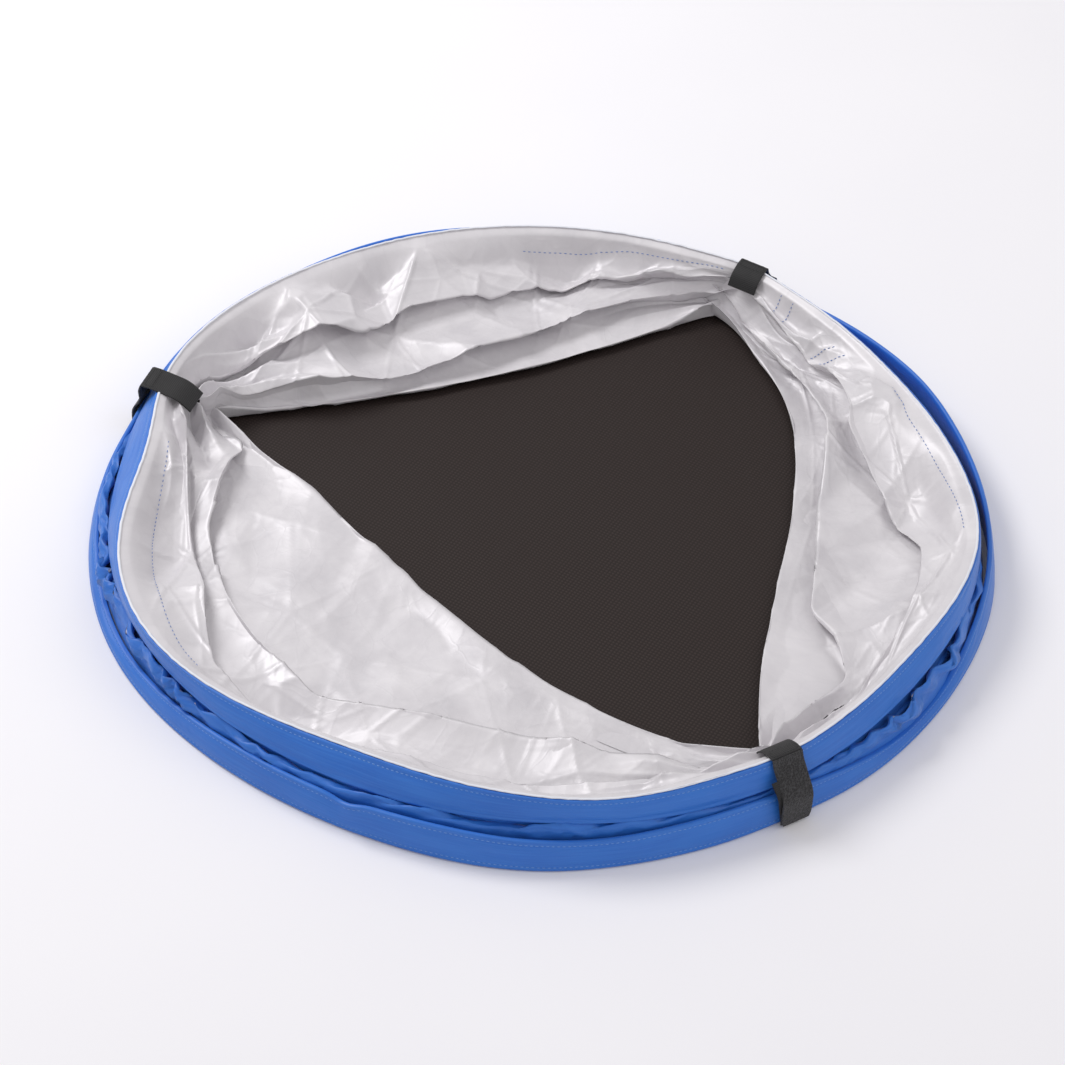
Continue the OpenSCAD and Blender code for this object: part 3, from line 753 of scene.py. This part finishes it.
def press_creases(piece, seed):
    """Doubles the grid, presses creases along the normals and keeps the cloth inside the rim."""
    modifier = piece.modifiers.new("Finer", "SUBSURF")
    modifier.levels = modifier.render_levels = 2
    modifier.use_limit_surface = False
    apply_modifiers(piece)
    mesh = piece.data
    count = len(mesh.vertices)
    at = np.empty(count * 3)
    mesh.vertices.foreach_get("co", at)
    at = at.reshape(-1, 3)
    facing = np.empty(count * 3, np.float32)
    mesh.vertices.foreach_get("normal", facing)
    facing = facing.reshape(-1, 3)
    flat = np.zeros((count, 2))
    for loop, data in zip(mesh.loops, mesh.uv_layers[0].data):
        flat[loop.vertex_index] = data.uv
    wide, long = flat.max(0)
    turned_under = long - 30 * MM
    u, v = flat[:, 0], flat[:, 1]
    to_strap = np.minimum(u, wide - u)
    ease = np.clip(to_strap / 0.05, 0, 1) * np.clip(v / 0.03, 0, 1)
    sizes = bpy.context.scene.shelter_sizes
    # the same height share for every layer at one place, so that plates never cut through each other
    x, y = at[:, 0], at[:, 1]
    away = START_R - np.hypot(x, y)
    lifted = plates(x + 0.5, y + 0.5, 1.0, 1.0, sizes.plate, seed) + 0.35 * plates(0.8 * x - 0.6 * y + 0.7, 0.6 * x + 0.8 * y + 0.7, 1.4, 1.4, 0.04, seed + 20)
    fan = away / (0.02 + 0.1 * to_strap) + 0.8 * np.sin(to_strap * 17 + seed)
    gathered = np.clip(1 - to_strap / 0.2, 0, 1) * np.clip(to_strap / 0.02, 0, 1)
    lifted += 0.8 * gathered * (4 * np.abs(fan % 1 - 0.5) - 1)
    tall = at[:, 2] - FLOOR_Z
    push = sizes.plate_share * ease * np.clip(away / 0.025, 0, 1) * np.clip((long - v - 0.034) / 0.03, 0, 1)
    at[:, 2] = FLOOR_Z + tall + (tall + 9 * MM) * push * np.clip(lifted, -1.6, 2)
    small = plates(u + 0.5 * v, v, wide + 0.5 * long, long, 0.05, seed + 10)
    at += facing * (ease * sizes.crease_depth * small)[:, None]
    floor_gap = np.where(v > turned_under, 1.6 * MM, 3.4 * MM)
    for k in range(count):
        r = math.hypot(at[k, 0], at[k, 1])
        azimuth = math.degrees(math.atan2(at[k, 1], at[k, 0]))
        lean = rim_lean(azimuth)
        reach = smooth((r - 0.3) / (START_R - 0.3))
        drawn = min(6 * MM, max(1.6 * MM, (RIM_Z - at[k, 2]) * 1.6))
        moved = min(r + (lean - drawn) * reach, START_R + lean - drawn)
        at[k, :2] *= moved / r
    at[:, 2] = np.clip(at[:, 2], FLOOR_Z + floor_gap, RIM_Z + 0.4 * MM)
    mesh.vertices.foreach_set("co", at.ravel())
    mesh.update()
    return at


# ---------------------------------------------------------------- operators


class SHELTER_OT_floor(bpy.types.Operator):
    """Build the woven floor and the tape bound round it"""

    bl_idname = "shelter.floor"
    bl_label = "Floor"

    def execute(self, context):
        def taut(azimuth, r, z):
            if z > 0.5 * MM:
                z += 0.25 * MM * ripple(azimuth, r, 30, 2.0) * smooth(r / 0.05) * (1 - smooth((r - 0.36) / 0.03))
            return r, z

        steps = [FLOOR_R * k / 26 for k in range(27)]
        outline = [(r, 0.0) for r in steps] + [(FLOOR_R + 0.2 * MM, FLOOR_Z / 2)] + [(r, FLOOR_Z) for r in reversed(steps)]
        panel = place("floor_cloth", turned(outline, False, 192, taut), [woven_floor()])
        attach(panel, "base")
        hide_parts("floor_panel")

        low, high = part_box("floor_binding")
        inner = high.x - 9 * MM
        outline = [(inner, low.z), (high.x, low.z), (high.x, high.z - 0.3 * MM), (high.x - 0.4 * MM, high.z), (inner + 0.4 * MM, high.z), (inner, high.z - 0.3 * MM)]
        binding = place("floor_edge_tape", turned(outline, True, 240), [black_webbing()])
        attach(binding, "base")
        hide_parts("floor_binding")
        return {"FINISHED"}


class SHELTER_OT_sleeves(bpy.types.Operator):
    """Build the three blue sleeves, their stitch lines and the taped rim"""

    bl_idname = "shelter.sleeves"
    bl_label = "Sleeves"

    def execute(self, context):
        sizes = context.scene.shelter_sizes
        colours = context.scene.shelter_colours
        bodies = {"top": "top_hoop", "middle": "middle_hoop", "bottom": "base"}
        for which, (low, high) in SLEEVES.items():
            shape = sleeve_shape(which)
            outline = band_profile(low, high, sizes.sleeve_thick)
            band = place(which + "_band", turned(outline, True, 400, shape), [blue_taffeta()])
            soft = band.modifiers.new("Soft", "SUBSURF")
            soft.levels = soft.render_levels = 1
            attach(band, bodies[which])
            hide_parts(which + "_sleeve")
            tall = math.dist(low, high)
            across = Vector(((high[1] - low[1]) / tall, -(high[0] - low[0]) / tall))
            lean = math.atan2(across.y, across.x)
            lines = []
            for share in ((1 - 4.5 * MM / tall,) if which == "top" else (4.5 * MM / tall, 1 - 4.5 * MM / tall)):
                swell = 0.8 * MM * math.sin(math.pi * share) - 0.55 * MM
                lines.append((low[0] + (high[0] - low[0]) * share + across.x * swell, low[1] + (high[1] - low[1]) * share + across.y * swell, lean))
            seam = stitch_rings(which + "_band_stitches", lines, shape, thread("Light blue thread", colours.blue_thread))
            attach(seam, bodies[which])

        wire = drawn_steel("Drawn spring steel", "#B4B6BA", 0.3)
        for which, (low, high) in SLEEVES.items():
            tall = math.dist(low, high)
            across = ((high[1] - low[1]) / tall, -(high[0] - low[0]) / tall)
            up = (-across[1], across[0])
            middle = [low[n] - across[n] * sizes.sleeve_thick * 0.5 + up[n] * 3.4 * MM for n in (0, 1)]
            follow = sleeve_shape(which)

            def centred(azimuth, r, z, middle=middle, follow=follow):
                at = follow(azimuth, *middle)
                return r + at[0] - middle[0], z + at[1] - middle[1]

            outline = [(middle[0] + 1.6 * MM * math.cos(k * math.tau / 8), middle[1] + 1.6 * MM * math.sin(k * math.tau / 8)) for k in range(8)]
            hoop = place(which + "_spring_hoop", turned(outline, True, 360, centred), [wire])
            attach(hoop, bodies[which])
            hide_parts(which + "_hoop")

        def puckered(azimuth, r, z):
            r += rim_lean(azimuth)
            r += 0.25 * MM * ripple(azimuth, 0, 1.3, 4.0)
            return r, z + MM * (0.8 * ripple(azimuth, 0, 22, 3.0) + 0.35 * ripple(azimuth, 0, 1.1, 9.0))

        middle = (RIM_R - 2.6 * MM, RIM_Z + 0.2 * MM)
        outline = [(middle[0] + 1.2 * MM * math.cos(k * math.tau / 10), middle[1] + 0.65 * MM * math.sin(k * math.tau / 10)) for k in range(10)]
        rim = place("rim_tape", turned(outline, True, 720, puckered), [edge_tape()])
        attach(rim, "top_hoop")
        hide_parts("top_edge_piping")
        return {"FINISHED"}


class SHELTER_OT_walls(bpy.types.Operator):
    """Build the two rings of wall cloth that stand up between the hoops"""

    bl_idname = "shelter.walls"
    bl_label = "Walls"

    def wall(self, name, node, bodies, outline, shape, finishes):
        bm = turned(outline, False, 600, shape)
        piece = place(name, bm, finishes)
        thin = piece.modifiers.new("Cloth", "SOLIDIFY")
        thin.thickness = 0.5 * MM
        thin.offset = -1
        thin.material_offset = 1
        thin.material_offset_rim = 0
        apply_modifiers(piece)
        for face in piece.data.polygons:
            face.use_smooth = True
        # the highest point of the lower sewn edge and the lowest point of the upper one round the ring; nothing uses
        # them
        sewn_low = max(shape(azimuth, *outline[0])[1] for azimuth in range(360))
        sewn_high = min(shape(azimuth, *outline[-1])[1] for azimuth in range(360))
        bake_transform(piece)
        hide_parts(node)
        return piece

    def execute(self, context):
        finishes = [blue_taffeta(), silver_coating()]

        def lower_shape(azimuth, r, z):
            flat_r = r
            spread = smooth((BASE_R - r) / (8 * MM))
            show = smooth((z - 22 * MM) / (8 * MM))
            slant = azimuth + (r - BASE_R) / MM * 0.9
            tuck = 1.6 * abs(ripple(slant, 0, 5.5, 21.0)) + 0.5 * abs(ripple(slant, 0, 2.1, 27.0))
            r += base_bulge(azimuth) * (1 - 0.25 * show) * (1 - 0.7 * spread * (1 - hump(azimuth, 166, 14)))
            r += MM * (0.35 * ripple(azimuth, z, 2.2, 14.0) + show * 0.8 * ripple(slant, 0, 2.6, 24.0))
            much = gap_lift(azimuth) / 8
            bulge = abs(ripple(azimuth + 0.3 * (z - low) / MM, 0, 3.4, 41.0))
            r += MM * smooth((z - 19 * MM) / (8 * MM)) * much * (14 * bulge + 0.5)
            z += MM * show * much * 4 * abs(ripple(azimuth - 0.3 * (r - BASE_R) / MM, 0, 4.2, 47.0))
            z += MM * show * (3.4 * tuck * (1 + 0.12 * gap_lift(azimuth)) - 2.6) * smooth((BASE_R - 11 * MM - flat_r) / (3 * MM)) * smooth((flat_r - (BASE_R - 20 * MM)) / (3 * MM))
            return r, z

        low = 9 * MM
        lower = [(BASE_R - 6.6 * MM, 6 * MM), (BASE_R - 7.6 * MM, 11 * MM), (BASE_R - 8.6 * MM, 16 * MM), (BASE_R - 9.6 * MM, 21 * MM), (BASE_R - 10.6 * MM, 25.5 * MM)]
        lower += [(BASE_R - 11.2 * MM, 29 * MM), (BASE_R - 12.4 * MM, 31 * MM), (BASE_R - 14 * MM, 31.8 * MM), (BASE_R - 16 * MM, 31.6 * MM), (BASE_R - 17.6 * MM, 30.8 * MM), (BASE_R - 19 * MM, 29.6 * MM)]
        self.wall("lower_wall_cloth", "lower_wall", ("base", "middle_hoop"), lower, lower_shape, finishes)

        def upper_shape(azimuth, r, z):
            share = (z - low) / (top - low)
            r += MM * (0.3 * ripple(azimuth, z, 2.4, 31.0) - 9 * (1 - share) * hump(azimuth, 168, 14))
            return r + 0.3 * share * rim_lean(azimuth), z + MM * share * gap_lift(azimuth)

        top = RIM_Z - 27.6 * MM
        upper = [(RIM_R + 4.6 * MM - 0.2 * MM * k, low + (top - low) * k / 8) for k in range(9)]
        self.wall("upper_wall_cloth", "upper_wall", ("middle_hoop", "top_hoop"), upper, upper_shape, finishes)
        return {"FINISHED"}


class SHELTER_OT_folds(bpy.types.Operator):
    """Build the three tucked walls, silver side up, pleated and pressed into flat plates"""

    bl_idname = "shelter.folds"
    bl_label = "Tucked walls"

    def execute(self, context):
        made = []
        for side, fold in FOLDS.items():
            name = "tucked_wall_" + side
            bm, index, across, flat = fold_mesh(name, fold)
            piece = place(name, bm, [silver_coating()])
            made.append((side, piece, index, across, flat))
        for number, (side, piece, index, across, flat) in enumerate(made):
            press_creases(piece, number + 1)
            for face in piece.data.polygons:
                face.use_smooth = True
            seam = self.seams(side, piece, index, across)
            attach(piece, "base")
            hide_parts("wall_fold_" + side)
            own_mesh(piece)
        return {"FINISHED"}

    def seams(self, side, piece, index, across):
        """Rows of stitches that show on the lining, at places given as (from, to) shares of the grid."""
        lines = {
            "left": [((0.10, 4.2), (0.42, 4.4))],
            "right": [((0.905, 1), (0.895, 9)), ((0.925, 1), (0.915, 9)), ((0.79, 3), (0.80, 10)), ((0.812, 3), (0.822, 10)), ((0.45, 2), (0.70, 2.4))],
            "back": [((0.05, 3.0), (0.35, 3.2))],
        }[side]
        mesh = piece.data
        sizes = bpy.context.scene.shelter_sizes

        def spot(s, j):
            i = s * FOLD_STEPS
            i0, j0 = int(i), int(j)
            near = [index[(i0 + a) * across + j0 + b] for a in (0, 1) for b in (0, 1)]
            weight = [(1 - abs(a - i + i0)) * (1 - abs(b - j + j0)) for a in (0, 1) for b in (0, 1)]
            at = sum((mesh.vertices[n].co * w for n, w in zip(near, weight)), Vector())
            up = sum((mesh.vertices[n].normal * w for n, w in zip(near, weight)), Vector()).normalized()
            return at, up

        bm = bmesh.new()
        for (s0, j0), (s1, j1) in lines:
            path = [spot(s0 + (s1 - s0) * k / 200, j0 + (j1 - j0) * k / 200) for k in range(201)]
            run = 0.0
            for (a, up), (b, _) in zip(path, path[1:]):
                run += (b - a).length
                if run >= sizes.stitch_pitch:
                    run = 0.0
                    dash(bm, b + up * 0.5 * MM, b - a, up, (sizes.stitch_length, sizes.thread, sizes.thread * 0.7))
        colour = bpy.context.scene.shelter_colours.lining_thread
        seam = place("lining_stitches_" + side, bm, [thread("Blue lining thread", colour)])
        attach(seam, "base")
        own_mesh(seam)
        return seam


class SHELTER_OT_straps(bpy.types.Operator):
    """Build the three hook-and-loop straps: anchor, flap, tab, patches and their stitching"""

    bl_idname = "shelter.straps"
    bl_label = "Straps"

    def ribbon(self, name, side, path, width, thick, finish, rows=14, fuzz=0.0, rounded=0.0):
        """A flat strap along path, points of (radius, height, sideways), in metres."""
        turn = math.radians(STRAPS[side])
        out = Vector((math.cos(turn), math.sin(turn), 0))
        over = Vector((-math.sin(turn), math.cos(turn), 0))
        run = [0.0]
        for a, b in zip(path, path[1:]):
            run.append(run[-1] + math.dist(a, b))
        steps = max(6, int(run[-1] / (1.0 * MM)))
        bm = bmesh.new()
        bmesh.ops.create_grid(bm, x_segments=steps, y_segments=rows, size=0.5)
        uv = bm.loops.layers.uv.new("UVMap")
        flat = {}
        for vert in bm.verts:
            along = (vert.co.x + 0.5) * run[-1]
            across = vert.co.y * width
            k = max(i for i in range(len(run) - 1) if run[i] <= along + 1e-9)
            f = (along - run[k]) / (run[k + 1] - run[k])
            r, z, shift = (path[k][n] + (path[k + 1][n] - path[k][n]) * f for n in range(3))
            if rounded:
                left = min(run[-1] - along, rounded)
                across *= 1 - 0.14 * (1 - left / rounded) ** 2
            flat[vert] = (along, across)
            vert.co = out * r + over * (across + shift) + Vector((0, 0, z))
        for face in bm.faces:
            for loop in face.loops:
                loop[uv].uv = flat[loop.vert]
        bm.normal_update()
        if sum(f.normal.dot(out + Vector((0, 0, 1))) for f in bm.faces) < 0:
            bmesh.ops.reverse_faces(bm, faces=bm.faces)
            bm.normal_update()
        if fuzz:
            moves = [(v, v.normal * fuzz * (noise.noise(v.co * 900) + 0.6 * noise.noise(v.co * 420))) for v in bm.verts]
            for vert, move in moves:
                vert.co += move
        strap = place(name, bm, [finish])
        solid = strap.modifiers.new("Thick", "SOLIDIFY")
        solid.thickness = thick
        solid.offset = 0
        edge = strap.modifiers.new("Soft edge", "BEVEL")
        edge.width = thick * 0.25
        edge.segments = 2
        edge.limit_method = "ANGLE"
        edge.angle_limit = math.radians(50)
        return strap

    def sewing(self, name, side, rows, finish):
        """Rows of stitches across or along a strap: each row (start, end, outward direction)."""
        turn = math.radians(STRAPS[side])
        out = Vector((math.cos(turn), math.sin(turn), 0))
        over = Vector((-math.sin(turn), math.cos(turn), 0))
        bm = bmesh.new()
        for start, end, (fr, fz) in rows:
            a = out * start[0] + over * start[2] + Vector((0, 0, start[1]))
            b = out * end[0] + over * end[2] + Vector((0, 0, end[1]))
            count = int((b - a).length / (2.6 * MM))
            for k in range(count):
                dash(bm, a.lerp(b, (k + 0.5) / count), b - a, out * fr + Vector((0, 0, fz)), (2.1 * MM, 0.6 * MM, 0.5 * MM))
        return place(name, bm, [finish])

    def rounded_path(self, path, radius, steps=5):
        """Rounds the corners of a path."""
        points = [Vector(p) for p in path]
        made = [points[0]]
        for a, b, c in zip(points, points[1:], points[2:]):
            cut = min(radius, (b - a).length * 0.45, (c - b).length * 0.45)
            start = b + (a - b).normalized() * cut
            end = b + (c - b).normalized() * cut
            for k in range(steps + 1):
                f = k / steps
                made.append(start.lerp(b, f).lerp(b.lerp(end, f), f))
        made.append(points[-1])
        return [tuple(p) for p in made]

    def execute(self, context):
        sizes = context.scene.shelter_sizes
        thick = sizes.webbing_thick
        half = thick / 2
        black = black_webbing()
        fuzzy = loop_tape()
        dark = thread("Black thread", context.scene.shelter_colours.black_thread)
        for side in STRAPS:
            low, high = strap_box(side + "_anchor", side)
            crest = high.z - half
            inner = low.x + 0.2 * MM
            rise = RIM_R - 2 * MM
            reach = (46 if side == "left" else 22) * MM
            anchor_path = self.rounded_path([(rise - reach, crest - 17 * MM, 0), (rise - reach * 0.72, crest - 6 * MM, 0), (rise - 4 * MM, crest - 0.4 * MM, 0), (high.x, crest, 0)], 9 * MM)
            width = high.y - low.y
            anchor = self.ribbon(side + "_strap_root", side, anchor_path, width, thick, black)
            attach(anchor, "top_hoop")
            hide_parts(side + "_anchor")
            rows = []
            for r in (high.x - 2.2 * MM, high.x - 9.5 * MM):
                rows.append(((r, crest + half + 0.1 * MM, -width * 0.42), (r, crest + half + 0.1 * MM, width * 0.42), (0, 1)))
            for y in (-0.42, 0.42):
                rows.append(((high.x - 9.5 * MM, crest + half + 0.1 * MM, width * y), (high.x - 2.2 * MM, crest + half + 0.1 * MM, width * y), (0, 1)))
            sewn = self.sewing(side + "_root_stitches", side, rows, dark)
            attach(sewn, "top_hoop")

            low, high = strap_box(side + "_flap", side)
            pivot = (low.x + 0.2 * MM, crest, 0)
            face = high.x - half - (12 * MM if side == "left" else 0)
            knee = strap_box(side + "_tab", side)[1].z - 12 * MM
            flap_path = self.rounded_path([pivot, (pivot[0] + 2.6 * MM, crest - 7 * MM, 0), (face - 9 * MM, knee + 7 * MM, 0), (face, knee - 4 * MM, 0), (face, low.z, 0)], 8 * MM, 7)
            flap = self.ribbon(side + "_strap", side, flap_path, width, thick, fuzzy, rows=36, fuzz=0.22 * MM, rounded=9 * MM)
            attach(flap, side + "_strap")
            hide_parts(side + "_flap")

            low, high = strap_box(side + "_hook_patch", side)
            r = (low.x + high.x) / 2 - (12 * MM if side == "left" else 0)
            hooks = self.ribbon(side + "_hooks", side, [(r, low.z, 0), (r, high.z, 0)], high.y - low.y, high.x - low.x, fuzzy, rows=24, fuzz=0.15 * MM)
            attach(hooks, side + "_strap")
            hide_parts(side + "_hook_patch")

            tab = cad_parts[side + "_tab"]
            self.lean_strap(side, tab, black, fuzzy, thick)
        return {"FINISHED"}

    def lean_strap(self, side, node, black, fuzzy, thick):
        """The loop-tape tab under the flap, which leans to one side as its CAD node does."""
        turn = math.radians(STRAPS[side])
        at = corners(node.name)
        out = at[:, 0] * math.cos(turn) + at[:, 1] * math.sin(turn)
        across = at[:, 1] * math.cos(turn) - at[:, 0] * math.sin(turn)
        bottom, top = at[:, 2].min(), at[:, 2].max()
        foot = across[at[:, 2] < bottom + 8 * MM].mean()
        head = across[at[:, 2] > top - 8 * MM].mean()
        drawn = 12 * MM if side == "left" else 0
        face = out.max() - thick / 2 - drawn
        knee = top - 12 * MM
        middle = foot + (head - foot) * (knee - bottom) / (top - bottom)
        path = self.rounded_path([(face, bottom, foot), (face, knee, middle), (out[at[:, 2] > top - 2 * MM].mean() - drawn, top - 0.5 * MM, head)], 5 * MM)
        tab = self.ribbon(side + "_tab_strap", side, path, 24 * MM, thick, black, rows=16)
        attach(tab, "base")
        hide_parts(side + "_tab")
        low, high = strap_box(side + "_loop_patch", side)
        r = (low.x + high.x) / 2 - drawn
        shift = (low.y + high.y) / 2
        width = min(high.y - low.y, 22 * MM)
        loops = self.ribbon(side + "_loops", side, [(r, low.z, shift), (r, high.z, shift)], width, high.x - low.x, fuzzy, rows=20, fuzz=0.15 * MM)
        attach(loops, "base")
        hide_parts(side + "_loop_patch")


class SHELTER_OT_ferrules(bpy.types.Operator):
    """Give the hoops' ferrules their steel"""

    bl_idname = "shelter.ferrules"
    bl_label = "Ferrules"

    def execute(self, context):
        tube = drawn_steel("Crimped zinc-plated steel", "#A6A9AC", 0.42)
        for which in SLEEVES:
            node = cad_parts[which + "_ferrule"]
            node.data.materials.clear()
            node.data.materials.append(tube)
        return {"FINISHED"}


class SHELTER_OT_stage(bpy.types.Operator):
    """Set the pale floor, the soft studio light and the camera"""

    bl_idname = "shelter.stage"
    bl_label = "Stage"

    def lamp(self, name, at, aim, size, power):
        light = bpy.data.lights.new(name, "AREA")
        light.shape = "DISK"
        light.size = size
        light.energy = power
        lamp = bpy.data.objects.new(name, light)
        lamp.location = at
        lamp.rotation_euler = (Vector(aim) - Vector(at)).to_track_quat("-Z", "Y").to_euler()
        bpy.context.scene.collection.objects.link(lamp)

    def execute(self, context):
        scene = context.scene
        bm = bmesh.new()
        bmesh.ops.create_grid(bm, x_segments=4, y_segments=4, size=6)
        bmesh.ops.translate(bm, verts=bm.verts, vec=(0, 0, -0.1 * MM))
        place("studio_floor", bm, [studio_white()])
        self.lamp("key", (-1.7, 1.1, 2.3), (0, 0, 0), 1.3, 47)
        self.lamp("fill", (2.2, -0.6, 2.4), (0, 0, 0), 2.6, 12)
        world = bpy.data.worlds.new("Studio")
        world.use_nodes = True
        world.node_tree.nodes["Background"].inputs[0].default_value = linear("#FFFDFE")
        world.node_tree.nodes["Background"].inputs[1].default_value = 0.63
        scene.world = world
        scene.view_settings.view_transform = "Standard"

        camera = bpy.data.cameras.new("camera")
        camera.sensor_width = 36
        camera.lens = 101.4
        camera.shift_x = -0.0085
        camera.shift_y = -0.004
        eye = bpy.data.objects.new("camera", camera)
        raised = math.radians(42.2)
        away = 2.783
        turn = Matrix.Rotation(math.pi / 2 - raised, 4, "X") @ Matrix.Rotation(math.radians(3.3), 4, "Z")
        eye.matrix_world = Matrix.Translation((0, -away * math.cos(raised), away * math.sin(raised))) @ turn
        scene.collection.objects.link(eye)
        scene.camera = eye
        return {"FINISHED"}


class SHELTER_PT_panel(bpy.types.Panel):
    """Lists the shelter's sizes, colours and building steps"""

    bl_idname = "SHELTER_PT_panel"
    bl_label = "Ice shelter"
    bl_space_type = "VIEW_3D"
    bl_region_type = "UI"
    bl_category = "Ice shelter"

    def draw(self, context):
        for group in (context.scene.shelter_sizes, context.scene.shelter_colours):
            box = self.layout.box()
            for key in group.bl_rna.properties.keys():
                if key not in ("rna_type", "name"):
                    box.prop(group, key)
        for kind in OPERATORS:
            self.layout.operator(kind.bl_idname)


OPERATORS = (SHELTER_OT_stage, SHELTER_OT_floor, SHELTER_OT_sleeves, SHELTER_OT_walls, SHELTER_OT_folds, SHELTER_OT_straps, SHELTER_OT_ferrules)
CLASSES = (ShelterSizes, ShelterColours, *OPERATORS, SHELTER_PT_panel)


def register():
    for kind in CLASSES:
        bpy.utils.register_class(kind)
    bpy.types.Scene.shelter_sizes = bpy.props.PointerProperty(type=ShelterSizes)
    bpy.types.Scene.shelter_colours = bpy.props.PointerProperty(type=ShelterColours)


def unregister():
    del bpy.types.Scene.shelter_colours
    del bpy.types.Scene.shelter_sizes
    for kind in reversed(CLASSES):
        bpy.utils.unregister_class(kind)


def main():
    register()
    bpy.ops.shelter.stage()
    bpy.ops.shelter.floor()
    bpy.ops.shelter.sleeves()
    bpy.ops.shelter.walls()
    bpy.ops.shelter.folds()
    bpy.ops.shelter.straps()
    bpy.ops.shelter.ferrules()


if __name__ == "__main__":
    main()
